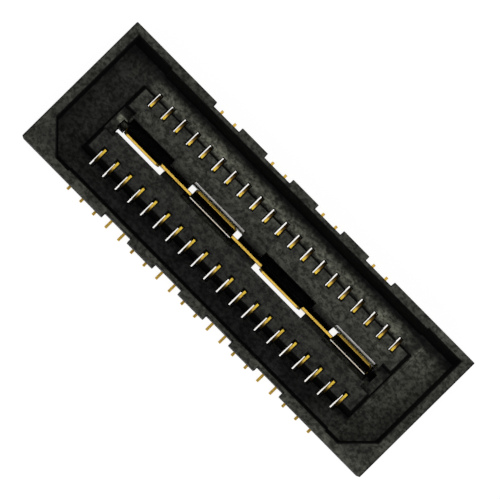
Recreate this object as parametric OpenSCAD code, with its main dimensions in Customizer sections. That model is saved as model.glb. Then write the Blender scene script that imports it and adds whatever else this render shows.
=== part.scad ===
// Board to board connector: a two-row surface-mount socket with a ground plane between its rows.
// The board is the plane z = 0, X runs along the rows, and +Z is the way the mating half comes in.
// The two keying corners of the trench are on the -Y side.

/* [Contacts] */
// Contacts in each of the two rows
positions = 20; // [12:4:28]
// Centre to centre distance of neighbouring contacts
pitch = 0.8; // [0.7:0.05:1]
// Thickness of the sheet that the contacts are stamped from
contact_t = 0.13; // [0.1:0.01:0.15]
// How far the crown of a contact stands out of the island's side
contact_proud = 0.24; // [0.15:0.01:0.35]
// Radius of the crown, at the middle of the beam
crown_r = 0.42; // [0.35:0.01:0.5]
// Width of the beam at its crown and tip
beam_w = 0.16; // [0.12:0.01:0.2]
// Width of the beam where it leaves its block
beam_root_w = 0.3; // [0.2:0.01:0.34]
// Distance of the beam's root from the inner end of its slot, at the underside
beam_inset = 0.03; // [0.01:0.01:0.08]
// Distance of the contact's tip from the inner end of its slot
tip_gap = 0.02; // [0.01:0.01:0.15]
// Depth of the contact's top below the top of the island
tip_drop = 0.07; // [0.03:0.01:0.2]
// Height of the contact's shoulder above the underside of the housing
shoulder_h = 0.06; // [0.03:0.01:0.1]
// Depth of the contact's block below the floor of the trench
block_drop = 0.05; // [0.02:0.01:0.15]
// Height of the bar that forms the solder tail
tail_h = 0.15; // [0.1:0.01:0.2]
// How far the tail ends stand out past the side walls
tail_proud = 0.1; // [0.02:0.01:0.4]
// Length of the raised neck between the block and the tail's bend
neck_l = 0.38; // [0.2:0.02:0.5]
// Length of the slope from the neck down to the sole
neck_slope_l = 0.2; // [0.1:0.02:0.3]
// Gap between the neck and the underside of the housing
neck_gap = 0.05; // [0.02:0.01:0.08]

/* [Housing] */
// Width over the two side walls at the rim
body_w = 7.2; // [6.6:0.05:8.5]
// Height of the rim above the board
body_h = 3.25; // [2.8:0.05:4]
// Distance from the last contact to the end face
end_block_l = 3.035; // [2.8:0.005:4]
// Thickness of the end walls at the rim
end_wall = 0.48; // [0.4:0.02:0.7]
// Thickness of the side walls at their ribs, at the rim
side_wall = 0.42; // [0.36:0.02:0.6]
// Height of the underside above the board
standoff = 0.3; // [0.24:0.01:0.4]
// Thickness of the floor
floor_t = 0.38; // [0.3:0.01:0.6]
// How much further in the outer walls are at the underside than at the rim
outer_draft = 0.08; // [0:0.01:0.12]
// How much further in the trench's long sides are at its floor than at the rim
trench_draft = 0.26; // [0.05:0.01:0.4]
// How much further in the trench's ends are at its floor than at the rim
end_draft = 0.11; // [0.05:0.01:0.4]
// How much further in the faces of the two keying corners are at the floor than at the rim
key_draft = 0.12; // [0:0.01:0.3]
// Leg of the two keying corners
key_leg = 1.33; // [0.8:0.01:1.6]
// Extra width of the trench round the ends of the island, on each side
pocket_relief = 0.06; // [0.02:0.01:0.14]
// Distance of those wider ends from the last contact
pocket_start = 0.5; // [0.3:0.05:0.7]
// Contacts from one side recess to the next
recess_every = 4; // [4:1:6]
// Length of each side recess
recess_l = 1.6; // [1:0.05:2.2]
// Depth of each side recess
recess_d = 0.23; // [0.1:0.01:0.28]
// Length of each corner foot
foot_l = 1.7; // [1:0.05:2.2]
// Width of each corner foot
foot_w = 1.3; // [0.8:0.05:2]
// Distance of the feet from the walls' outer faces at the rim
foot_inset = 0.3; // [0.15:0.05:0.6]

/* [Island] */
// Width of the island at its top
island_w = 3.63; // [3.3:0.01:4.2]
// Distance from the last contact to the end of the island
island_end_l = 0.7; // [0.6:0.05:1]
// Depth of the island's top below the rim
island_drop = 0.28; // [0.1:0.02:0.6]
// How much wider the island is at its foot, on each side
island_draft = 0.16; // [0:0.01:0.2]
// Length of the lead-in notch in each end of the island
lead_l = 0.5; // [0.35:0.01:0.6]
// Width of the lead-in notch
lead_w = 1.36; // [1:0.02:1.6]
// Depth of the lead-in notch
lead_d = 1.5; // [0.6:0.05:1.9]

/* [Contact slots] */
// Width of each contact slot
slot_w = 0.195; // [0.17:0.005:0.3]
// Depth of each slot into the island's side
slot_in = 0.495; // [0.45:0.005:0.6]
// How much shorter each slot is at the underside, at its inner end
slot_draft = 0.09; // [0:0.01:0.1]
// Length of each slot in the floor beside the island
slot_out = 0.4; // [0.36:0.01:0.5]
// Length of the stop in each slot that meets the contact's shoulder
stop_l = 0.295; // [0.2:0.005:0.34]
// Thickness of that stop
stop_t = 0.12; // [0.06:0.01:0.18]

/* [Ground plane] */
// Thickness of the ground strip
strip_t = 0.15; // [0.13:0.01:0.18]
// Length of the strip past the last contact, at each end
strip_end_l = 0.02; // [0:0.02:0.3]
// Height of the rail's top edge above the board
rail_h = 1.05; // [0.8:0.05:1.3]
// Width of a spring finger
finger_w = 2.55; // [1.5:0.05:3]
// Distance from one spring finger to the next
finger_gap = 1.9; // [1.4:0.05:2.4]
// Distance of the outermost finger from the end of the strip
finger_inset = 0.04; // [0:0.02:0.3]
// Narrowest finger that is worth cutting at the ends of the strip
finger_min_w = 1; // [0.5:0.1:1.5]
// Distance of a leaning finger's tip from the middle plane
finger_offset = 0.25; // [0.15:0.005:0.28]
// Thickness of a finger at its tip
finger_tip_t = 0.125; // [0.1:0.005:0.13]
// Depth of a finger's tip below the top of the island
finger_drop = 0.13; // [0.05:0.01:0.4]
// Leg of the cut corners of a finger's tip
finger_cut = 0.16; // [0.05:0.01:0.3]
// Length of each solder tab under the rail
tab_l = 1.8; // [1:0.1:2]

/* [Ground slot] */
// Width of the slot that takes the mating ground blade
blade_slot_w = 0.4; // [0.34:0.01:0.5]
// How much the mouth of that slot opens out, on each side
blade_lead = 0.25; // [0.01:0.01:0.3]
// Depth of the sloping mouth
blade_lead_d = 0.15; // [0.06:0.01:0.3]
// Length of that slot past the last contact, at each end
blade_slot_end_l = 0.37; // [0.36:0.01:0.5]
// Free gap below each finger that leans to +Y, on the strip's -Y side
rail_gap = 0.03; // [0.02:0.01:0.06]
// Width of the windows round the spring fingers
window_w = 0.946; // [0.84:0.002:1.1]
// Width of the windows low down, where they pass through the floor
window_low_w = 0.8; // [0.72:0.02:0.84]
// Room in a window at each end of its finger
window_gap = 0.3; // [0.1:0.02:0.4]
// Distance from the middle plane of the part of a window that runs on past the strip
window_step = 0.205; // [0.1:0.005:0.3]
// Depth of the blind side of a window below the top of the island
window_d = 2.15; // [1:0.05:2.2]
// Length of the blind sides past the last contact, at each end
blind_end_l = 0.08; // [0:0.01:0.2]

/* [Hidden] */
// Overlap that lets a cutting tool pass the face it cuts
over = 0.1;
// Points along each curved stretch of a stamped profile
curve_steps = 12;

row_half = (positions - 1) * pitch / 2;
body_half_l = row_half + end_block_l;
body_half_w = body_w / 2;
floor_z = standoff + floor_t;

island_half_l = row_half + island_end_l;
island_half_w = island_w / 2;
island_top = body_h - island_drop;

slot_inner_y = island_half_w - slot_in;
slot_outer_y = island_half_w + slot_out;
slot_low_y = slot_inner_y + slot_draft;
stop_y = slot_outer_y - stop_l;
shoulder_z = standoff + shoulder_h;

strip_half_l = row_half + strip_end_l;
blade_slot_half_l = row_half + blade_slot_end_l;
blind_half_l = row_half + blind_end_l;
blind_z = island_top - window_d;

recess_count = floor(positions / recess_every) - 1;
recess_x = [for (k = [1:recess_count]) (k - (recess_count + 1) / 2) * recess_every * pitch];

// Spring fingers of one half of the strip, from the middle out: [inner edge, outer edge, order]
finger_reach = strip_half_l - finger_inset;
finger_pitch = finger_w + finger_gap;
half_fingers = [
    for (k = [0:positions])
        let (inner = finger_gap / 2 + k * finger_pitch, outer = min(inner + finger_w, finger_reach))
        if (outer - inner >= finger_min_w) [inner, outer, k]
];

// All fingers: [lower x, upper x, side that it leans to]; neighbours lean to opposite sides
fingers = concat(
    [for (f = half_fingers) [f[0], f[1], f[2] % 2 == 0 ? -1 : 1]],
    [for (f = half_fingers) [-f[1], -f[0], f[2] % 2 == 0 ? 1 : -1]]
);

function contact_name(row, i) = str("contact_", row, i < 10 ? "0" : "", i);
function contact_x(i) = (i - (positions + 1) / 2) * pitch;

// The +X wall of a slot, which the contact is seated against
function seat_x(i) = contact_x(i) + slot_w / 2;

ROWS = [["a", 0], ["b", 1]];

function reversed(list) = [for (k = [len(list) - 1:-1:0]) list[k]];
function on_circle(centre, r, angle) = centre + r * [cos(angle), sin(angle)];
function arc(centre, r, from, to) =
    [for (k = [0:curve_steps]) on_circle(centre, r, from + (to - from) * k / curve_steps)];

// Box between two corners
module block(low, high) {
    translate(low) cube(high - low);
}

// Outline in Y and Z, extruded along X between two places
module along_x(from, to) {
    translate([from, 0, 0]) rotate([90, 0, 90]) linear_extrude(to - from) children();
}

// Outline in X and Z, extruded along Y about the middle plane
module along_y(depth) {
    rotate([90, 0, 0]) linear_extrude(depth, center = true) children();
}

// Block with sloping sides, about the Z axis; low and high are its half sizes in X and Y
module taper(low, low_z, high, high_z) {
    reach = [max(low.x, high.x) + over, max(low.y, high.y) + over];
    intersection() {
        along_y(2 * reach.y)
            polygon([[-low.x, low_z], [low.x, low_z], [high.x, high_z], [-high.x, high_z]]);
        along_x(-reach.x, reach.x)
            polygon([[-low.y, low_z], [low.y, low_z], [high.y, high_z], [-high.y, high_z]]);
    }
}

// Distance that the draft of the outer walls brings them in at a height
function wall_inset(z) = outer_draft * (body_h - z) / (body_h - standoff);

// Distances that the draft of the trench brings its ends and its long sides in at a height
function trench_inset(z) = [end_draft, trench_draft] * (body_h - z) / (body_h - floor_z);

// Distance of a keying corner's face from the corner it cuts off, at a height
function key_reach(z) = key_leg / sqrt(2) + key_draft * (body_h - z) / (body_h - floor_z);

// Outer block, with recesses in its long sides that show the solder tails from above
module outer_block() {
    low_z = standoff - over;
    high_z = body_h + over;
    recess_y = body_half_w - recess_d;
    difference() {
        taper(
            [body_half_l, body_half_w] - outer_draft * [1, 1], standoff,
            [body_half_l, body_half_w], body_h
        );
        for (side = [0, 1], x = recess_x)
            mirror([0, side, 0])
                along_x(x - recess_l / 2, x + recess_l / 2)
                    polygon([
                        [recess_y - wall_inset(low_z), low_z], [body_half_w + over, low_z],
                        [body_half_w + over, high_z], [recess_y - wall_inset(high_z), high_z]
                    ]);
    }
}

// Trench that takes the mating half's wall: wider round the island's ends, keyed at two corners
module trench() {
    end_x = body_half_l - end_wall;
    mid_y = body_half_w - side_wall;
    end_y = mid_y + pocket_relief;
    step_x = row_half + pocket_start;
    high_z = body_h + over;
    low_z = floor_z - over;
    low_inset = trench_inset(floor_z);
    high_inset = trench_inset(high_z);
    difference() {
        union() {
            taper([end_x, mid_y] - low_inset, floor_z, [end_x, mid_y] - high_inset, high_z);
            difference() {
                taper([end_x, end_y] - low_inset, floor_z, [end_x, end_y] - high_inset, high_z);
                block([-step_x, -end_y - over, 0], [step_x, end_y + over, high_z + over]);
            }
        }
        for (side = [0, 1])
            mirror([side, 0, 0])
                translate([end_x, -end_y, 0])
                    rotate([0, 0, 45])
                        along_x(-2 * key_leg, 2 * key_leg)
                            polygon([
                                [-key_leg, low_z], [key_reach(low_z), low_z],
                                [key_reach(high_z + over), high_z + over], [-key_leg, high_z + over]
                            ]);
    }
}

// Walls, floor, island and feet, before any slot is cut
module moulding() {
    difference() {
        outer_block();
        trench();
    }
    taper(
        [island_half_l, island_half_w] + island_draft * [1, 1], floor_z - floor_t / 2,
        [island_half_l, island_half_w], island_top
    );
    foot_x = body_half_l - foot_inset;
    foot_y = body_half_w - foot_inset;
    for (side_x = [0, 1], side_y = [0, 1])
        mirror([side_x, 0, 0])
            mirror([0, side_y, 0])
                block([foot_x - foot_l, foot_y - foot_w, 0], [foot_x, foot_y, standoff + floor_t / 2]);
}

// Inner end of the contact slots at a height
function slot_y(z) = slot_inner_y + slot_draft * (island_top - z) / (island_top - standoff);

// One slot for each contact, right through the floor and up the island's side, but for a stop at its end
module contact_slots() {
    low_z = standoff - over;
    high_z = island_top + over;
    for (side = [0, 1], i = [1:positions])
        mirror([0, side, 0])
            difference() {
                along_x(contact_x(i) - slot_w / 2, seat_x(i))
                    polygon([
                        [slot_y(low_z), low_z], [slot_outer_y, low_z],
                        [slot_outer_y, high_z], [slot_y(high_z), high_z]
                    ]);
                block(
                    [seat_x(i) - contact_t, stop_y, shoulder_z],
                    [seat_x(i) + over, slot_outer_y + over, shoulder_z + stop_t]
                );
            }
}

// One side of a window, from the island's top down through the floor
module window(low_x, high_x, near_y) {
    block([low_x, near_y, standoff - over], [high_x, window_low_w / 2, blind_z + over]);
    block([low_x, near_y, blind_z], [high_x, window_w / 2, island_top + over]);
}

// Slot for the mating blade, the slit that holds the rail, and a window round each spring finger
module ground_slot() {
    top = island_top + over;
    half = blade_slot_w / 2;
    mouth = half + blade_lead * (1 + over / blade_lead_d);
    lead_z = island_top - blade_lead_d;
    along_x(-blade_slot_half_l, blade_slot_half_l)
        polygon([
            [-half, floor_z], [half, floor_z], [half, lead_z],
            [mouth, top], [-mouth, top], [-half, lead_z]
        ]);
    block([-strip_half_l, -strip_t / 2, standoff - over], [strip_half_l, strip_t / 2, floor_z + over]);
    for (f = fingers) {
        low_x = f[0] - window_gap;
        high_x = min(f[1] + window_gap, finger_reach);
        block(
            [max(low_x, -blind_half_l), -window_w / 2, blind_z],
            [min(f[1] + window_gap, blind_half_l), window_w / 2, top]
        );
        mirror([0, f[2] < 0 ? 1 : 0, 0]) {
            window(max(low_x, -strip_half_l), high_x, 0);
            window(max(low_x, -blade_slot_half_l), high_x, window_step);
        }
        if (f[2] > 0)
            block([f[0], -strip_t / 2 - rail_gap, standoff - over], [f[1], 0, floor_z + over]);
    }
}

// Notch in each end of the island, which lets the mating blade find its slot
module lead_ins() {
    for (side = [0, 1])
        mirror([side, 0, 0])
            block(
                [island_half_l - lead_l, -lead_w / 2, island_top - lead_d],
                [island_half_l + over, lead_w / 2, island_top + over]
            );
}

// Housing, moulded in one piece
module housing() {
    color([0.13, 0.13, 0.12])
        difference() {
            moulding();
            contact_slots();
            ground_slot();
            lead_ins();
        }
}

// Middle line of a spring finger: it curves out from the rail as a bent leaf does
function finger_point(s) =
    [finger_offset * s * s, rail_h + (island_top - finger_drop - rail_h) * s];
function finger_side(s) =
    let (run = [2 * finger_offset * s, island_top - finger_drop - rail_h])
    [run.y, -run.x] / norm(run);

// Half the thickness of a finger, which is coined thinner towards its tip
function finger_half_t(s) = (strip_t + (finger_tip_t - strip_t) * s) / 2;

function finger_profile() =
    let (
        share = [for (k = [0:curve_steps]) k / curve_steps],
        foot = [strip_t / 2, standoff]
    )
    concat(
        [[-foot.x, foot.y], foot],
        [for (s = share) finger_point(s) + finger_half_t(s) * finger_side(s)],
        [for (s = reversed(share)) finger_point(s) - finger_half_t(s) * finger_side(s)]
    );

// Front view of one finger, with its two top corners cut off
function finger_front(low_x, high_x) =
    let (top = island_top)
    [
        [low_x, standoff], [high_x, standoff],
        [high_x, top - finger_drop - finger_cut], [high_x - finger_cut - finger_drop, top],
        [low_x + finger_cut + finger_drop, top], [low_x, top - finger_drop - finger_cut]
    ];

module spring_finger(f) {
    intersection() {
        mirror([0, f[2] < 0 ? 1 : 0, 0])
            along_x(f[0], f[1]) polygon(finger_profile());
        along_y(window_w) polygon(finger_front(f[0], f[1]));
    }
}

// Ground strip: a rail with spring fingers along its top and solder tabs along its foot
module ground_plane() {
    color([0.83, 0.62, 0.22]) {
        block([-strip_half_l, -strip_t / 2, standoff], [strip_half_l, strip_t / 2, rail_h]);
        for (f = fingers) {
            spring_finger(f);
            middle = (f[0] + f[1]) / 2;
            tab_half_l = min(tab_l, f[1] - f[0]) / 2;
            block(
                [middle - tab_half_l, -strip_t / 2, 0],
                [middle + tab_half_l, strip_t / 2, rail_h]
            );
        }
    }
}

// Side view of a contact in row A: sole, neck, shoulder, block, leaning beam, crown and tip
function contact_profile() =
    let (
        half = beam_w / 2,
        neck_z = standoff - neck_gap - tail_h,
        block_z = floor_z - block_drop,
        tail_y = body_half_w + tail_proud,
        bend_y = slot_outer_y + neck_l,
        sole_y = bend_y + neck_slope_l,
        crown = [
            island_half_w + contact_proud - crown_r - half,
            island_top - tip_drop - crown_r - half
        ],
        root = [slot_low_y + beam_inset + beam_root_w / 2, block_z],
        to_crown = crown - root,
        rise = atan2(to_crown.y, to_crown.x) - asin(crown_r / norm(to_crown)),
        tip_y = slot_inner_y + tip_gap
    )
    concat(
        [[slot_low_y, neck_z], [bend_y, neck_z], [sole_y, 0], [tail_y, 0]],
        [[tail_y, tail_h], [sole_y, tail_h], [bend_y, neck_z + tail_h]],
        [[slot_outer_y, neck_z + tail_h], [slot_outer_y, shoulder_z]],
        [[stop_y, shoulder_z], [stop_y, block_z]],
        [root + [beam_root_w / 2, 0]],
        arc(crown, crown_r + half, rise - 90, 90),
        [[tip_y + half / 2, crown.y + crown_r + half], [tip_y, crown.y + crown_r + half / 2]],
        [[tip_y, crown.y + crown_r - half]],
        arc(crown, crown_r - half, 90, rise - 90),
        [root - [beam_root_w / 2, 0]],
        [[slot_low_y, block_z]]
    );

// One stamped contact, seated against the +X wall of its slot
module contact(i, row_side) {
    color([0.85, 0.65, 0.24])
        mirror([0, row_side, 0])
            along_x(seat_x(i) - contact_t, seat_x(i)) polygon(contact_profile());
}

housing();
ground_plane();
for (row = ROWS, i = [1:positions])
    contact(i, row[1]);
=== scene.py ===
"""Board to board connector: finishes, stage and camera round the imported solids.

Every piece is a solid of the frame. The operators below round its edges and give it its finish, then
set the pale floor, the soft lamps and the camera. Places are in metres, in the frame of the solids;
the finishes work in millimetres, which suits a part of this size.
"""

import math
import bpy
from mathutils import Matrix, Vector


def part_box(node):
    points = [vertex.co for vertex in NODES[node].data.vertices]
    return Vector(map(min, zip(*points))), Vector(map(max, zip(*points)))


bl_info = {
    "name": "Board to board connector",
    "version": (1, 0, 0),
    "blender": (4, 5, 0),
    "location": "3D View > Sidebar > Connector",
    "description": "Finishes a two-row board to board connector and sets its studio",
    "category": "Object",
}

import bpy
from bpy.props import FloatProperty, FloatVectorProperty, PointerProperty
from bpy.types import Operator, Panel, PropertyGroup
from mathutils import Matrix, Vector

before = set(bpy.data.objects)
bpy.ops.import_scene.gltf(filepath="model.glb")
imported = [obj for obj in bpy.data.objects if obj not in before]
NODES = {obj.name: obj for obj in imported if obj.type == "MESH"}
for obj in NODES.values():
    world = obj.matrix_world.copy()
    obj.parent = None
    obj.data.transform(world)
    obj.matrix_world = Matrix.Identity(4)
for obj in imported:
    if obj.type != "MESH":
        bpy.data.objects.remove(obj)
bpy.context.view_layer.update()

MM = 0.001

# Size of the photograph, and where the middle of the rim lies in it, in pixels
PHOTO_W, PHOTO_H = 500, 499
RIM_PX = (248.5, 249.4)

CONTACTS = sorted(name for name in NODES if name.startswith("contact_"))
_, HOUSING_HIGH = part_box("housing")
_, STRIP_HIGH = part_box("ground_plane")
RIM_Z = HOUSING_HIGH.z / MM


# Values that a user would change


def length(name, description, default_mm):
    """A length property whose default is given in millimetres."""
    return FloatProperty(
        name=name, description=description, default=default_mm * MM, min=0.0,
        unit="LENGTH", subtype="DISTANCE", precision=6,
    )


def colour(name, description, default):
    """A colour property, linear."""
    return FloatVectorProperty(
        name=name, description=description, default=default, size=3, min=0.0, max=1.0, subtype="COLOR"
    )


def share(name, description, default):
    """A property from 0 to 1."""
    return FloatProperty(
        name=name, description=description, default=default, min=0.0, max=1.0, subtype="FACTOR"
    )


def amount(name, description, default, most):
    """A plain number from 0 up to a most."""
    return FloatProperty(name=name, description=description, default=default, min=0.0, max=most)


def angle(name, description, degrees):
    """An angle property whose default is given in degrees."""
    return FloatProperty(
        name=name, description=description, default=math.radians(degrees), subtype="ANGLE", unit="ROTATION"
    )


class PlasticSettings(PropertyGroup):
    """Glass-filled black plastic of the housing."""

    base: colour("Plastic", "Colour of the black plastic", (0.0054, 0.0055, 0.0051))
    # Painted sheen: a pale colour laid on the plastic by place, standing in for light and sheen
    painted_sheen: colour("Haze", "Colour of the pale haze that the melt leaves on the skin", (0.041, 0.042, 0.032))
    roughness: share("Roughness", "Roughness of the moulded skin", 0.46)
    edge_r: length("Edge radius", "Rounding of the long edges of the rim and the island", 0.06)
    corner_r: length("Corner radius", "Rounding of all other moulded edges", 0.03)
    # Painted sheen on the rim
    rim_painted_sheen: share("Haze on the rim", "How much haze the rim has", 0.84)
    # Painted sheen on the island, stronger towards +Y
    island_painted_sheen: share("Haze on the island", "How fast the haze of the island grows towards +Y", 1.0)
    # Painted sheen on the floor beside row A, strong enough to outweigh the walls' shade
    strip_painted_sheen: amount("Haze beside row A", "How much haze the floor has between row A and the wall", 6.0, 9.0)
    # Painted sheen on the floor round the island's ends
    pocket_painted_sheen: share("Haze in the pockets", "How much haze the floor has round the island's ends", 0.85)
    # Painted highlight: a near-white line along the ledge low in a window, behind the finger
    ledge_painted_highlight: amount("Pale ledge", "How pale the ledge low in a window is, behind the finger", 20.0, 24.0)
    # A pale patch on the floor of the -X notch, in the painted sheen's colour
    notch_pale_patch: amount("Smear in the notch", "How pale the smear in the -X notch of the island is", 6.0, 9.0)
    # Painted sheen on the blind sides of the windows, low down
    blind_painted_sheen: amount("Haze in the blind sides", "How much haze the blind sides of the windows have", 1.1, 9.0)
    grain_l: length("Grain", "Size of the moulded grain", 0.14)
    grain_h: length("Grain depth", "Depth of the moulded grain", 0.006)


class GoldSettings(PropertyGroup):
    """Gold plating of the contacts and the ground strip."""

    base: colour("Gold", "Colour of the plating", (0.74, 0.48, 0.08))
    # Used for thin plating, and as painted shade on row A's crowns
    wear_and_shade: colour("Worn gold", "Colour where the plating is thin", (0.55, 0.31, 0.06))
    # Painted highlight: lighter, yellower gold at the contacts' tips
    tip_highlight: colour("Fresh gold", "Colour at the contacts' tips, where the plating is thick", (0.86, 0.6, 0.07))
    roughness: share("Roughness", "Roughness of the plating", 0.28)
    rubbed: share("Rubbed tips", "How dull the tips of the spring fingers are", 0.14)
    # Painted shade: the contacts' gold above the floor, inside the housing, is darkened to this share
    contact_inner_shade: share("Contact tone", "How light the contacts' gold is beside the strip's", 0.8)
    contact_rough: share("Contact roughness", "Roughness of the contacts' plating", 0.4)
    edge_r: length("Edge radius", "Rounding of the contacts' stamped edges", 0.014)
    strip_edge_r: length("Strip edge radius", "Rounding of the ground strip's edges", 0.022)
    streak_l: length("Rolling lines", "Distance of the lines that rolling leaves in the strip", 0.03)


class StudioSettings(PropertyGroup):
    """Floor, lamps and camera."""

    floor: colour("Floor", "Colour of the pale floor", (0.78, 0.78, 0.77))
    view_w: length("View width", "Width of the view at the rim", 22.143)
    distance: length("Camera distance", "Distance of the camera from the rim", 650.0)
    tilt: angle("Tilt", "Angle of the camera from straight above, towards -Y", 3.07)
    turn: angle("Turn", "Angle of the long side below the picture's horizontal", 45.38)
    key: amount("Key", "Light of the overhead lamp on a flat white sheet", 0.3, 9.0)
    fill: amount("Fill", "Light of the side lamp on a flat white sheet", 0.3, 9.0)
    sky: share("Sky", "Brightness of the room", 0.12)


# Shader expressions


class Sock:
    """A socket that can stand in Python expressions; each operation adds its node."""

    def __init__(self, graph, socket):
        self.graph = graph
        self.socket = socket

    def maths(self, operation, *values):
        return self.graph.node("ShaderNodeMath", {"operation": operation}, dict(enumerate(values)))

    def __add__(self, other):
        return self.maths("ADD", self, other)

    __radd__ = __add__

    def __sub__(self, other):
        return self.maths("SUBTRACT", self, other)

    def __rsub__(self, other):
        return self.maths("SUBTRACT", other, self)

    def __mul__(self, other):
        return self.maths("MULTIPLY", self, other)

    __rmul__ = __mul__

    def __pow__(self, other):
        return self.maths("POWER", self, other)

    def __abs__(self):
        return self.maths("ABSOLUTE", self)

    def above(self, other):
        return self.maths("MAXIMUM", self, other)


class Graph:
    """Node tree of a material, a world or a modifier."""

    def __init__(self, tree):
        self.tree = tree
        tree.nodes.clear()

    def node(self, kind, settings=None, sockets=None, out=0):
        """Adds one node: its settings first, then its sockets' values or links; returns one output."""
        made = self.tree.nodes.new(kind)
        for name, value in (settings or {}).items():
            setattr(made, name, value)
        for key, value in (sockets or {}).items():
            if isinstance(value, Sock):
                self.tree.links.new(value.socket, made.inputs[key])
            else:
                made.inputs[key].default_value = value
        return Sock(self, made.outputs[out]) if len(made.outputs) else made

    def millimetres(self):
        """Place on the piece, in millimetres, with its three parts."""
        place = self.node("ShaderNodeTexCoord", out="Object")
        mm = self.node("ShaderNodeVectorMath", {"operation": "SCALE"}, {0: place, "Scale": 1 / MM})
        return (mm, *self.parts(mm))

    def parts(self, vector):
        """The three parts of a vector."""
        return tuple(self.node("ShaderNodeSeparateXYZ", {}, {0: vector}, out=k) for k in range(3))

    def noise(self, place, size, detail=2.0, rough=0.5, distortion=0.0):
        """Noise of about 0 to 1 whose lumps have that size, in the place's own units."""
        return self.node(
            "ShaderNodeTexNoise", {"noise_dimensions": "3D"},
            {"Vector": place, "Scale": 1 / size, "Detail": detail, "Roughness": rough,
             "Distortion": distortion},
        )

    def stretched(self, place, x, y, z):
        """The place with each axis drawn out by a factor, so that a pattern runs along it."""
        return self.node(
            "ShaderNodeVectorMath", {"operation": "MULTIPLY"}, {0: place, 1: (1 / x, 1 / y, 1 / z)}
        )

    def step(self, value, low, high):
        """Smooth rise from 0 at low to 1 at high."""
        return self.node(
            "ShaderNodeMapRange", {"interpolation_type": "SMOOTHSTEP"},
            {"Value": value, "From Min": low, "From Max": high, "To Min": 0.0, "To Max": 1.0},
        )

    def until(self, value, low, high):
        """Smooth fall from 1 at low to 0 at high."""
        return 1 - self.step(value, low, high)

    def band(self, value, low, high, soft):
        """1 between low and high, with soft edges outside them."""
        return self.step(value, low - soft, low) * self.until(value, high, high + soft)

    def bands(self, value, spans):
        """1 in any of the bands, each given by its low, high and soft."""
        return sum((self.band(value, *span) for span in spans), 0.0)

    def between(self, low, high, mask):
        """Number that goes from low where the mask is 0 to high where it is 1."""
        return low + (high - low) * mask

    def mix(self, factor, first, second):
        """Mix of two colours."""
        full = [c if isinstance(c, Sock) else (*c, 1.0) for c in (first, second)]
        return self.node(
            "ShaderNodeMix", {"data_type": "RGBA"}, {0: factor, 6: full[0], 7: full[1]}, out=2
        )

    def scaled(self, colour, factor):
        """A colour times a number."""
        return self.node("ShaderNodeVectorMath", {"operation": "SCALE"}, {0: colour, "Scale": factor})

    def summed(self, first, second):
        """Sum of two colours."""
        return self.node("ShaderNodeVectorMath", {"operation": "ADD"}, {0: first, 1: second})

    def facing(self):
        """Parts of the face's direction along X, Y and Z."""
        return self.parts(self.node("ShaderNodeNewGeometry", out="Normal"))

    def bump(self, height):
        """Normal of a surface with that height, in millimetres."""
        return self.node("ShaderNodeBump", {}, {"Height": height, "Distance": MM, "Strength": 1.0})


def new_graph(name):
    """A material and its empty node tree."""
    material = bpy.data.materials.new(name)
    material.use_nodes = True
    return material, Graph(material.node_tree)


def surface(graph, sockets):
    """Ends a material with its shader."""
    shader = graph.node("ShaderNodeBsdfPrincipled", {}, sockets)
    graph.node("ShaderNodeOutputMaterial", {}, {"Surface": shader})


# Finishes


# Heights on the housing and the ground strip, in millimetres
FLOOR_Z = 0.68
LEDGE_Z = 0.82
NOTCH_Z = 1.47
TIPS_Z = 2.84
ISLAND_TOP = 2.97

# Heights over which one place fades into the next; a band has the width of its soft edges third
FLOOR_FADE_Z = (FLOOR_Z + 0.02, FLOOR_Z + 0.1)
LEDGE_BAND_Z = (LEDGE_Z - 0.02, LEDGE_Z + 0.02, 0.03)
ISLAND_FADE_Z = (NOTCH_Z - 0.1, NOTCH_Z - 0.02)
NOTCH_FADE_Z = (NOTCH_Z + 0.1, NOTCH_Z + 0.3)
NOTCH_PATCH_FADE_Z = (1.6, 1.8)
DEEP_FADE_Z = (2.5, 2.9)
LEAD_IN_FADE_Z = (ISLAND_TOP - 0.2, ISLAND_TOP + 0.02)
TOP_BAND_Z = (ISLAND_TOP - 0.02, ISLAND_TOP + 0.02, 0.04)
RIM_FADE_Z = (ISLAND_TOP + 0.08, RIM_Z - 0.06)

# Distances from the middle over which one place fades into the next, with bands as above
SLOT_Y, SLOT_X = (0.46, 0.5), (7.9, 8.0)
WINDOW_BAND_Y = (0.38, 0.5, 0.02)
# Where the painted highlight on the window ledges starts
HIGHLIGHT_LEDGE_Y = (0.36, 0.4)
BLIND_Y = (-0.2, -0.15)
NOTCH_Y, NOTCH_X = (0.75, 0.8), (7.7, 7.8)
# Where the painted shadow on a notch's floor rises towards the notch's +Y wall
NOTCH_SHADOW_Y = (0.2, 0.6)
ISLAND_BAND_Y, ISLAND_BAND_X = (0.9, 1.1, 0.2), (7.4, 7.8)
# Beside row A the floor's painted sheen starts clear of the island's foot, a painted shadow there
BESIDE_A_Y, BESIDE_A_X = (1.95, 2.2), (6.8, 8.8)
# Where the painted shadow of the +Y wall on the floor begins: the sheen fades, and the black darkens at the
# wall's foot
WALL_SHADE_Y, WALL_FOOT_SHADOW_Y = (2.3, 2.85), (2.4, 2.85)
POCKET_X, POCKET_END_X = (8.3, 8.6), (9.1, 10.0)
POCKET_B_Y, POCKET_B_X = (-2.3, -2.0), (6.2, 8.6)
CORNER_Y, CORNER_X = (2.9, 3.2), (6.5, 8.5)
OUTWARD_Y, OUTWARD_X = (2.95, 3.5), (10.0, 10.6)
OUTSIDE_Y, OUTSIDE_X = (3.2, 3.25), (10.3, 10.35)
LEAD_IN_Y = (-0.2, 0.2)

# Upward part of the direction of level, leaning and upright faces
LEVEL_UP, UPRIGHT_UP = (0.93, 0.99), (0.5, 0.9)
LEAD_IN_BAND_UP = (0.78, 0.9, 0.04)

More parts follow.
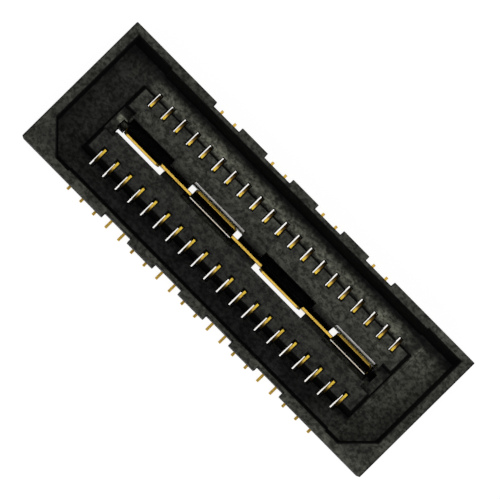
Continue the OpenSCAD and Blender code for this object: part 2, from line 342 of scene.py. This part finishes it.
# Marks in the plastic, the spans of the painted highlight on the window ledges, and a pale patch in the -X
# notch, in millimetres
RINGS_X, RING_Y = (-7.3, -3.1, 0.8, 4.85), 0.88
RING_R, RING_W, RING_H, RING_SOFT = 0.37, 0.05, 0.006, 0.02
HIGHLIGHT_LEDGES_X = ((-3.8, -0.65, 0.02), (5.1, 7.95, 0.02))
WITNESS_X = ((8.54, 8.57, 0.015), (8.64, 8.67, 0.015))
NOTCH_PATCH_X, NOTCH_PATCH_Y = (-8.15, -7.75, 0.18), (0.08, 0.2, 0.14)

# Sizes of the plastic's lumps, in millimetres, and the levels of noise where they go from dark to pale
SPECK_L, PATCH_L, MOTTLE_L, FLOW_L = 0.16, 0.5, 1.1, 0.42
SPECK_CUT, PATCH_CUT, MOTTLE_CUT = (0.34, 0.66), (0.32, 0.68), (0.3, 0.7)
SWIRL_W = 0.09


class Zones:
    """Places on the housing as masks: each is 1 in its place and 0 away from it."""

    def __init__(self, g, x, y, z):
        up = g.facing()[2]
        end, side = abs(x), abs(y)
        self.level = g.step(up, *LEVEL_UP)
        self.upright = g.until(up, *UPRIGHT_UP)

        self.rim = g.step(z, *RIM_FADE_Z)
        self.corner = g.step(side, *CORNER_Y) * g.step(end, *CORNER_X)
        self.outward = g.step(side, *OUTWARD_Y).above(g.step(end, *OUTWARD_X))
        self.outside = g.step(side, *OUTSIDE_Y).above(g.step(end, *OUTSIDE_X)) * (1 - self.rim)

        self.island = g.step(z, *ISLAND_FADE_Z) * (1 - self.rim)
        self.island_top = g.band(z, *TOP_BAND_Z)
        self.island_band = g.band(y, *ISLAND_BAND_Y) * g.until(end, *ISLAND_BAND_X)
        # Painted shadow on the notches' floors under their +Y walls
        notch = g.step(end, *NOTCH_X) * g.until(side, *NOTCH_Y) * g.until(z, *NOTCH_FADE_Z)
        self.notch_painted_shadow = notch * g.step(y, *NOTCH_SHADOW_Y)
        # A pale patch on the floor of the -X notch
        self.notch_patch = g.band(x, *NOTCH_PATCH_X) * g.band(y, *NOTCH_PATCH_Y) * g.until(z, *NOTCH_PATCH_FADE_Z)

        beside_strip = g.until(end, *SLOT_X)
        in_slot = g.until(side, *SLOT_Y) * beside_strip
        self.lead_in = in_slot * g.band(up, *LEAD_IN_BAND_UP) * g.step(z, *LEAD_IN_FADE_Z)
        self.deep = in_slot * g.until(z, *DEEP_FADE_Z)
        self.window = g.band(y, *WINDOW_BAND_Y) * self.upright * beside_strip
        ledge = g.band(z, *LEDGE_BAND_Z)
        # Painted highlight along the ledges low in the windows, on their +Y side
        self.ledge_highlight = ledge * g.bands(x, HIGHLIGHT_LEDGES_X) * g.step(y, *HIGHLIGHT_LEDGE_Y)
        # Painted sheen on the ledges' blind -Y side
        self.blind_side = ledge * g.until(y, *BLIND_Y)

        self.floor = g.until(z, *FLOOR_FADE_Z)
        # Painted shadow on the floor at the foot of the +Y wall
        self.wall_foot_shadow = g.step(y, *WALL_FOOT_SHADOW_Y) * self.floor
        self.clear_of_wall_shadow = g.until(y, *WALL_SHADE_Y)
        # Floor beside row A that takes painted sheen, with painted shadow at the island's foot and near the +Y
        # wall
        self.beside_a = g.step(y, *BESIDE_A_Y) * self.clear_of_wall_shadow * g.until(end, *BESIDE_A_X)
        beside_b = g.step(end, *POCKET_B_X) * g.until(y, *POCKET_B_Y)
        self.pocket = g.step(end, *POCKET_X).above(beside_b)
        self.pocket_end = g.step(end, *POCKET_END_X)
        self.witness = g.bands(x, WITNESS_X) * self.floor


def island_painted_sheen(p, x, y, zone):
    """Painted sheen of the island: stronger towards +Y and +X, with a paler band beside row A, and a painted
    shadow in the notches.
    """
    least, rise, from_y, drift, band, notch_shadow_loss = 0.36, 0.2, -1.8, 0.018, 0.25, 0.9
    slope = (least + p.island_painted_sheen * (rise * (y - from_y)).above(0.0)) * (1 + drift * x)
    return (slope + band * p.island_painted_sheen * zone.island_band) * (1 - notch_shadow_loss * zone.notch_painted_shadow)


def pocket_painted_sheen(g, p, x, y, zone):
    """Painted sheen of the floor round the island's ends: stronger towards +Y and +X, weak in painted shadow at
    the +Y wall and towards the end walls.
    """
    middle, rise, from_y, drift, sheen_in_wall_shadow, sheen_in_end_shadow = 0.68, 0.165, -2.6, 0.063, 0.06, 0.5
    slope = (middle + rise * (y - from_y)).above(0.0) * (1 + drift * x)
    painted_edge_shadows = g.between(sheen_in_wall_shadow, 1.0, zone.clear_of_wall_shadow) * g.between(1.0, sheen_in_end_shadow, zone.pocket_end)
    return p.pocket_painted_sheen * slope * painted_edge_shadows


def painted_sheen_share(g, p, x, y, zone, swirl):
    """Share of painted sheen, a pale colour that stands in for light: even on the rim, fading to -Y on the
    island, strong on the floor beside row A, and on level faces only, apart from the outer walls and the
    lead-ins.
    """
    outside, rim_drift, corner_gain = 0.4, 0.01, 0.3
    # The rim's painted sheen grows towards +X, at the corners and towards the outer edges
    rim = p.rim_painted_sheen * (1 + rim_drift * x) * (1 + corner_gain * zone.corner) * g.between(0.8, 1.2, zone.outward)
    # Painted sheen on the floor beside row A, broken up by the flow swirls, and round the island's ends
    floor = (zone.beside_a * p.strip_painted_sheen * g.between(0.75, 1.25, swirl)
             + zone.pocket * pocket_painted_sheen(g, p, x, y, zone))
    level = (zone.rim * rim + zone.island * island_painted_sheen(p, x, y, zone) + zone.floor * floor
             + zone.notch_patch * p.notch_pale_patch + zone.ledge_highlight * p.ledge_painted_highlight + zone.blind_side * p.blind_painted_sheen)
    # Painted sheen on the lead-ins beside the strip, stronger on the +Y side
    lead_in = zone.lead_in * g.between(0.4, 0.65, g.step(y, *LEAD_IN_Y))
    return outside * zone.outside + lead_in + zone.level * level


def ejector_marks(g, x, y):
    """Groove round each ejector mark, and the disc inside it, as masks."""
    groove = disc = 0.0
    for ring_x in RINGS_X:
        away = ((x - ring_x) ** 2 + (y - RING_Y) ** 2) ** 0.5
        groove = groove + g.band(away, RING_R - RING_W / 2, RING_R + RING_W / 2, RING_SOFT)
        disc = disc + g.until(away, RING_R - 2 * RING_W, RING_R)
    return groove, disc


def plastic_material(p):
    """Black glass-filled plastic: grain, specks, patches, flow lines, painted sheen and painted shade by place,
    mould marks.
    """
    material, g = new_graph("glass_filled_black_plastic")
    mm, x, y, z = g.millimetres()
    zone = Zones(g, x, y, z)

    grain = g.noise(mm, p.grain_l / MM, detail=3.0, rough=0.7)
    speck = g.step(g.noise(g.stretched(mm, 1.2, 1.0, 1.0), SPECK_L, rough=0.7), *SPECK_CUT)
    patch = g.step(g.noise(g.stretched(mm, 1.3, 1.0, 1.0), PATCH_L), *PATCH_CUT)
    mottle = g.step(g.noise(mm, MOTTLE_L, detail=3.0, rough=0.6), *MOTTLE_CUT)
    flow = g.noise(g.stretched(mm, 1.6, 1.0, 1.0), FLOW_L, detail=3.0, rough=0.55, distortion=1.6)
    swirl = g.until(abs(flow - 0.5), 0.0, SWIRL_W)
    groove, disc = ejector_marks(g, x, y)

    lumps = g.between(0.75, 1.25, mottle) * g.between(0.75, 1.25, patch) * g.between(0.4, 1.6, speck)
    # Witness lines and ejector discs are paler; the ejector grooves are darker, a painted shade in them
    witness_gain, disc_gain, groove_shade_loss = 0.7, 0.2, 0.45
    marks = 1 + witness_gain * zone.witness + zone.island_top * (disc_gain * disc - groove_shade_loss * groove)
    # Painted sheen by place, broken up by the plastic's lumps and marks
    painted_sheen = painted_sheen_share(g, p, x, y, zone, swirl) * lumps * marks
    # Painted shade: upright faces are darker
    upright_shade_loss, foot_shadow_loss = 0.35, 0.6
    black = 0.3 + 0.9 * speck + 0.5 * patch
    # Painted shadow: the floor darkens at the foot of the +Y wall
    black = black * (1 - upright_shade_loss * zone.upright) * (1 - foot_shadow_loss * zone.wall_foot_shadow)

    # The windows beside the strip have smooth walls; all other faces have the mould's grain
    flow_share, wall_rough = 0.25, 0.3
    height = p.grain_h / MM * (grain + flow_share * flow) * (1 - zone.window)
    height = height - RING_H * groove * zone.island_top
    skin = p.roughness - 0.14 + 0.1 * mottle + 0.2 * (1 - speck) + 0.1 * (1 - patch)
    skin = skin + wall_rough * zone.deep.above(zone.upright)
    smooth = g.between(0.28, 0.12, patch)

    surface(g, {
        "Base Color": g.summed(g.scaled(tuple(p.base), black), g.scaled(tuple(p.painted_sheen), painted_sheen)),
        "Roughness": g.between(skin, smooth, zone.window),
        "Normal": g.bump(height),
        "IOR": 1.5,
        "Specular IOR Level": 0.16,
    })
    return material


# Places on the stampings, in millimetres
CROWN_Z = (2.2, 2.5)
# Band of the contacts' tips that take a painted highlight
TIP_BAND_Y = (1.2, 1.5, 0.25)
# Row A's crowns, which take the darker gold as painted shade
CROWN_A_Y = (1.42, 1.72)
# Height below which the strip's ends are darker: bare cut ends, and painted shade on the rail's top there
BARE_END_SHADE_Z = (1.2, 1.5)
# Above the floor the contacts' gold is darker, a painted shade inside the housing
ABOVE_FLOOR_Z = (FLOOR_Z, FLOOR_Z + 0.3)

# Part of a flat face's direction along its own axis
FLAT = (0.75, 0.9)

# Sizes of the plating's clouds and fine grain, and depth of its satin, in millimetres
CLOUD_L, FINE_L, SATIN_H = 0.35, 0.02, 0.0012

# Levels of noise where the clouds go from plated to thin, the most that the plating wears, and the share of
# darker gold on row A's crowns, a painted shade
WORN_CUT, WORN_MOST, CROWN_SHADE = (0.52, 0.8), 0.7, 0.85


def gold_material(name, gold, along, rolled, rough, inner_shade, tips_z, ends_x, flat_shade):
    """Gold-plated stamping: smooth rolled faces, satin cut edges, a painted highlight of yellower gold at the
    contacts' tips, thin plating in random clouds, painted shade on row A's crowns.

    The rolled faces face along the axis of that number. Tips at tips_z are rubbed dull, ends at ends_x are
    darker low down, bare cut ends with painted shade, the flat sides between the floor and the tips are
    darkened by the given share as painted shade, and above the floor the gold is scaled by its own given share,
    a painted shade inside the housing.
    """
    material, g = new_graph(name)
    mm, x, y, z = g.millimetres()
    facing = g.facing()
    lines = g.noise(g.stretched(mm, *along), gold.streak_l / MM)
    cloud = g.noise(mm, CLOUD_L, detail=3.0, rough=0.6)
    fine = g.noise(mm, FINE_L, detail=1.0)

    face = g.step(abs(facing[rolled]), *FLAT)
    side = g.step(abs(facing[0]), *FLAT)
    high = g.step(z, *CROWN_Z)
    # Painted highlight: the contacts' tips take the lighter, yellower gold
    tip = g.band(abs(y), *TIP_BAND_Y) * high
    # Painted shade: row A's crowns take the darker gold
    crown_a_shade = g.step(y, *CROWN_A_Y) * high
    above_floor = g.step(z, *ABOVE_FLOOR_Z)
    rubbed = gold.rubbed * g.step(z, tips_z - 0.3, tips_z)
    # Painted shade on the flat sides between the floor and the tips
    flat_shade_mask = flat_shade * face.above(side) * g.until(z, tips_z - 0.9, tips_z - 0.1) * above_floor
    # Darker strip ends low down: bare cut ends, and painted shade on the rail's top there
    bare_end_and_shade = g.step(abs(x), ends_x - 0.12, ends_x - 0.06) * g.until(z, *BARE_END_SHADE_Z)

    # Thin plating in random clouds, and painted shade on row A's crowns
    wear_and_shade = (WORN_MOST * g.step(cloud, *WORN_CUT)).above(CROWN_SHADE * crown_a_shade)
    plated = g.mix(wear_and_shade, g.mix(tip, tuple(gold.base), tuple(gold.tip_highlight)), tuple(gold.wear_and_shade))
    bare_and_shade_loss = 0.9
    # Painted shade inside the housing, on the flat sides and at the ends; the tips are also rubbed dull
    shade = g.between(1.0, inner_shade, above_floor) * (1 - rubbed) * (1 - flat_shade_mask) * (1 - bare_and_shade_loss * bare_end_and_shade)

    surface(g, {
        "Base Color": g.scaled(plated, shade),
        "Roughness": rough - 0.05 + 0.12 * cloud - 0.12 * face + 0.4 * rubbed,
        "Metallic": 1.0,
        "Normal": g.bump(SATIN_H * (lines + 0.4 * fine) * (1 - 0.7 * face)),
    })
    return material


# Rounded edges


WELD_GAP = 1e-7
SHARP_ANGLE = math.radians(28)
LONG_EDGE = 0.49 * MM
LEVEL_RISE = 0.01 * MM
ROUND_ABOVE_Z = 2.0 * MM


def weld_group():
    """Geometry nodes that join a solid's faces, keep its sharp edges sharp and weigh them for rounding.

    Long level edges above a height have the weight 1, all other sharp edges the weight of the input.
    """
    group = bpy.data.node_groups.get("weld_and_weigh")
    if group:
        return group
    group = bpy.data.node_groups.new("weld_and_weigh", "GeometryNodeTree")
    group.interface.new_socket("Geometry", in_out="INPUT", socket_type="NodeSocketGeometry")
    for name in ("Least weight", "Least height"):
        group.interface.new_socket(name, in_out="INPUT", socket_type="NodeSocketFloat")
    group.interface.new_socket("Geometry", in_out="OUTPUT", socket_type="NodeSocketGeometry")
    g = Graph(group)
    solid = g.node("NodeGroupInput")
    least, height = (Sock(g, solid.socket.node.outputs[k]) for k in (1, 2))
    solid = g.node("GeometryNodeRemoveAttribute", {}, {"Geometry": solid, "Name": "custom_normal"})
    solid = g.node("GeometryNodeMergeByDistance", {}, {"Geometry": solid, "Distance": WELD_GAP})
    solid = g.node(
        "GeometryNodeSetShadeSmooth", {"domain": "FACE"}, {"Geometry": solid, "Shade Smooth": True}
    )
    bend = g.node("GeometryNodeInputMeshEdgeAngle")
    sharp = bend.maths("GREATER_THAN", bend, SHARP_ANGLE)
    solid = g.node(
        "GeometryNodeSetShadeSmooth", {"domain": "EDGE"},
        {"Geometry": solid, "Selection": sharp, "Shade Smooth": False},
    )
    first, second = (g.node("GeometryNodeInputMeshEdgeVertices", out=k) for k in (2, 3))
    run = g.node("ShaderNodeVectorMath", {"operation": "SUBTRACT"}, {0: second, 1: first})
    size = g.node("ShaderNodeVectorMath", {"operation": "LENGTH"}, {0: run}, out="Value")
    rise = abs(g.node("ShaderNodeSeparateXYZ", {}, {0: run}, out=2))
    place = g.node("ShaderNodeSeparateXYZ", {}, {0: first}, out=2)
    long = (size.maths("GREATER_THAN", size, LONG_EDGE) * rise.maths("LESS_THAN", rise, LEVEL_RISE)
            * place.maths("GREATER_THAN", place, height))
    solid = g.node(
        "GeometryNodeStoreNamedAttribute", {"data_type": "FLOAT", "domain": "EDGE"},
        {"Geometry": solid, "Name": "bevel_weight_edge", "Value": sharp * (least + long * (1 - least))},
    )
    g.node("NodeGroupOutput", {}, {"Geometry": solid})
    return group


def round_edges(piece, radius, segments, least_radius=None, above=0.0):
    """Rounds the sharp edges of a solid by modifiers, and keeps its flat faces flat."""
    weld = piece.modifiers.new("Weld and weigh", "NODES")
    weld.node_group = weld_group()
    inputs = {item.name: item.identifier for item in weld.node_group.interface.items_tree}
    weld[inputs["Least weight"]] = 1.0 if least_radius is None else least_radius / radius
    weld[inputs["Least height"]] = above
    bevel = piece.modifiers.new("Rounded edges", "BEVEL")
    bevel.width = radius
    bevel.segments = segments
    bevel.limit_method = "WEIGHT"
    bevel.use_clamp_overlap = False
    normals = piece.modifiers.new("Flat faces", "WEIGHTED_NORMAL")
    normals.keep_sharp = True


def dress(piece, material):
    """Gives a solid its finish."""
    piece.data.materials.clear()
    piece.data.materials.append(material)


# Operators


class CONNECTOR_OT_housing(Operator):
    """Round the housing's edges and give it its black plastic"""

    bl_idname = "connector.housing"
    bl_label = "Finish the housing"

    def execute(self, context):
        p = context.scene.connector_plastic
        piece = NODES["housing"]
        dress(piece, plastic_material(p))
        round_edges(piece, p.edge_r, 3, p.corner_r, ROUND_ABOVE_Z)
        return {"FINISHED"}


class CONNECTOR_OT_contacts(Operator):
    """Round the contacts' stamped edges and plate them"""

    bl_idname = "connector.contacts"
    bl_label = "Finish the contacts"

    def execute(self, context):
        gold = context.scene.connector_gold
        # The contacts' gold is darker above the floor, a painted shade inside the housing
        material = gold_material(
            "plated_contact_gold", gold, along=(1.0, 12.0, 12.0), rolled=0, rough=gold.contact_rough,
            inner_shade=gold.contact_inner_shade, tips_z=RIM_Z, ends_x=HOUSING_HIGH.x / MM, flat_shade=0.0,
        )
        for name in CONTACTS:
            dress(NODES[name], material)
            round_edges(NODES[name], gold.edge_r, 2)
        return {"FINISHED"}


class CONNECTOR_OT_ground(Operator):
    """Round the ground strip's stamped edges and plate it"""

    bl_idname = "connector.ground"
    bl_label = "Finish the ground strip"

    def execute(self, context):
        gold = context.scene.connector_gold
        piece = NODES["ground_plane"]
        # The strip's flat sides get painted shade
        material = gold_material(
            "plated_ground_gold", gold, along=(14.0, 1.0, 1.0), rolled=1, rough=gold.roughness,
            inner_shade=1.0, tips_z=TIPS_Z, ends_x=STRIP_HIGH.x / MM, flat_shade=0.85,
        )
        dress(piece, material)
        round_edges(piece, gold.strip_edge_r, 2)
        return {"FINISHED"}


def seen(g):
    """1 for rays of the camera, reflections and clear pieces, 0 for light on its way to a surface."""
    path = {name: g.node("ShaderNodeLightPath", out=name)
            for name in ("Is Camera Ray", "Is Glossy Ray", "Is Transmission Ray")}
    return path["Is Camera Ray"].above(path["Is Glossy Ray"]).above(path["Is Transmission Ray"])


VEIL_GREY, GLOW = 0.3, 0.9


def floor_material(s):
    """Pale floor that glows white to the eye, as a light table does, and keeps the part's shadow."""
    material, g = new_graph("pale_floor")
    pale = g.node("ShaderNodeBsdfDiffuse", {}, {"Color": (*s.floor, 1.0)})
    veil = g.node("ShaderNodeBsdfDiffuse", {}, {"Color": (VEIL_GREY, VEIL_GREY, VEIL_GREY, 1.0)})
    glow = g.node("ShaderNodeEmission", {}, {"Color": (1.0, 1.0, 1.0, 1.0), "Strength": GLOW})
    lit = g.node("ShaderNodeAddShader", {}, {0: veil, 1: glow})
    shader = g.node("ShaderNodeMixShader", {}, {0: seen(g), 1: pale, 2: lit})
    g.node("ShaderNodeOutputMaterial", {}, {"Surface": shader})
    return material


def add_floor(s):
    """Floor that curves up into a low backdrop all round."""
    middle, flat, bend, sides, steps = 0.02, 1.2, 0.3, 64, 8
    rings = [(middle, 0.0), (flat, 0.0)] + [
        (flat + bend * math.sin(a), bend - bend * math.cos(a))
        for a in (math.pi / 2 * k / steps for k in range(1, steps + 1))
    ]
    turns = [2 * math.pi * k / sides for k in range(sides)]
    points = [(r * math.cos(a), r * math.sin(a), z) for r, z in rings for a in turns]
    faces = [tuple(range(sides))] + [
        (i * sides + k, (i + 1) * sides + k, (i + 1) * sides + (k + 1) % sides, i * sides + (k + 1) % sides)
        for i in range(len(rings) - 1) for k in range(sides)
    ]
    mesh = bpy.data.meshes.new("floor")
    mesh.from_pydata(points, [], faces)
    floor = bpy.data.objects.new("floor", mesh)
    bpy.context.scene.collection.objects.link(floor)
    mesh.materials.append(floor_material(s))


def add_lamp(name, direction, distance, width, height, level):
    """Area lamp that gives a flat white sheet that level, aimed at the part; sizes are in metres."""
    direction = Vector(direction).normalized()
    light = bpy.data.lights.new(name, "AREA")
    light.shape = "RECTANGLE"
    light.size = width
    light.size_y = height
    # A small sheet sees E = P cos / (pi d^2) from a lamp of power P that faces it
    light.energy = level * (math.pi * distance) ** 2 / direction.z
    lamp = bpy.data.objects.new(name, light)
    bpy.context.scene.collection.objects.link(lamp)
    lamp.location = direction * distance
    lamp.rotation_euler = direction.to_track_quat("Z", "Y").to_euler()


def add_world(s):
    """Dim even room."""
    world = bpy.data.worlds.new("room")
    bpy.context.scene.world = world
    world.use_nodes = True
    g = Graph(world.node_tree)
    room = g.node("ShaderNodeBackground", {}, {"Color": (1.0, 1.0, 1.0, 1.0), "Strength": s.sky})
    g.node("ShaderNodeOutputWorld", {}, {"Surface": room})


def add_camera(s):
    """Camera nearly straight above, a little towards -Y, with the long side running to the lower right."""
    tilt, turn = s.tilt, s.turn
    back = Vector((0.0, -math.sin(tilt), math.cos(tilt)))
    across = Vector((0.0, math.cos(tilt), math.sin(tilt)))
    along = Vector((1.0, 0.0, 0.0))
    right = math.cos(turn) * along + math.sin(turn) * across
    up = -math.sin(turn) * along + math.cos(turn) * across
    per_px = s.view_w / PHOTO_W
    rim = Vector((0.0, 0.0, HOUSING_HIGH.z))
    aim = rim + right * (PHOTO_W / 2 - RIM_PX[0]) * per_px - up * (PHOTO_H / 2 - RIM_PX[1]) * per_px
    data = bpy.data.cameras.new("camera")
    data.sensor_fit = "HORIZONTAL"
    data.lens = data.sensor_width * s.distance / s.view_w
    data.clip_start = 0.01
    data.clip_end = 10.0
    camera = bpy.data.objects.new("camera", data)
    bpy.context.scene.collection.objects.link(camera)
    turned = Matrix((right, up, back)).transposed()
    camera.matrix_world = Matrix.Translation(aim + back * s.distance) @ turned.to_4x4()
    bpy.context.scene.camera = camera


class CONNECTOR_OT_studio(Operator):
    """Set the pale floor, the soft lamps, the room and the camera"""

    bl_idname = "connector.studio"
    bl_label = "Set the studio"

    def execute(self, context):
        s = context.scene.connector_studio
        context.scene.view_settings.view_transform = "Standard"
        add_floor(s)
        overhead = (0.0, math.tan(math.radians(8)), 1.0)
        aside = (0.1, -math.tan(math.radians(30)), 1.0)
        add_lamp("overhead_lamp", overhead, distance=0.3, width=0.4, height=0.14, level=s.key)
        add_lamp("side_lamp", aside, distance=0.35, width=0.6, height=0.15, level=s.fill)
        add_world(s)
        add_camera(s)
        return {"FINISHED"}


class CONNECTOR_PT_panel(Panel):
    """Lists the connector's operators"""

    bl_label = "Board to board connector"
    bl_idname = "CONNECTOR_PT_panel"
    bl_space_type = "VIEW_3D"
    bl_region_type = "UI"
    bl_category = "Connector"

    def draw(self, context):
        for operator in OPERATORS:
            self.layout.operator(operator.bl_idname)
        for group in SETTINGS:
            settings = getattr(context.scene, group)
            for name in settings.bl_rna.properties.keys():
                if name not in ("rna_type", "name"):
                    self.layout.prop(settings, name)


OPERATORS = (CONNECTOR_OT_housing, CONNECTOR_OT_contacts, CONNECTOR_OT_ground, CONNECTOR_OT_studio)
SETTINGS = {
    "connector_plastic": PlasticSettings,
    "connector_gold": GoldSettings,
    "connector_studio": StudioSettings,
}


def register():
    for item in (*SETTINGS.values(), *OPERATORS, CONNECTOR_PT_panel):
        bpy.utils.register_class(item)
    for name, group in SETTINGS.items():
        setattr(bpy.types.Scene, name, PointerProperty(type=group))


def unregister():
    for name in SETTINGS:
        delattr(bpy.types.Scene, name)
    for item in (CONNECTOR_PT_panel, *reversed(OPERATORS), *reversed(list(SETTINGS.values()))):
        bpy.utils.unregister_class(item)


def main():
    register()
    bpy.ops.connector.housing()
    bpy.ops.connector.contacts()
    bpy.ops.connector.ground()
    bpy.ops.connector.studio()


if __name__ == "__main__":
    main()
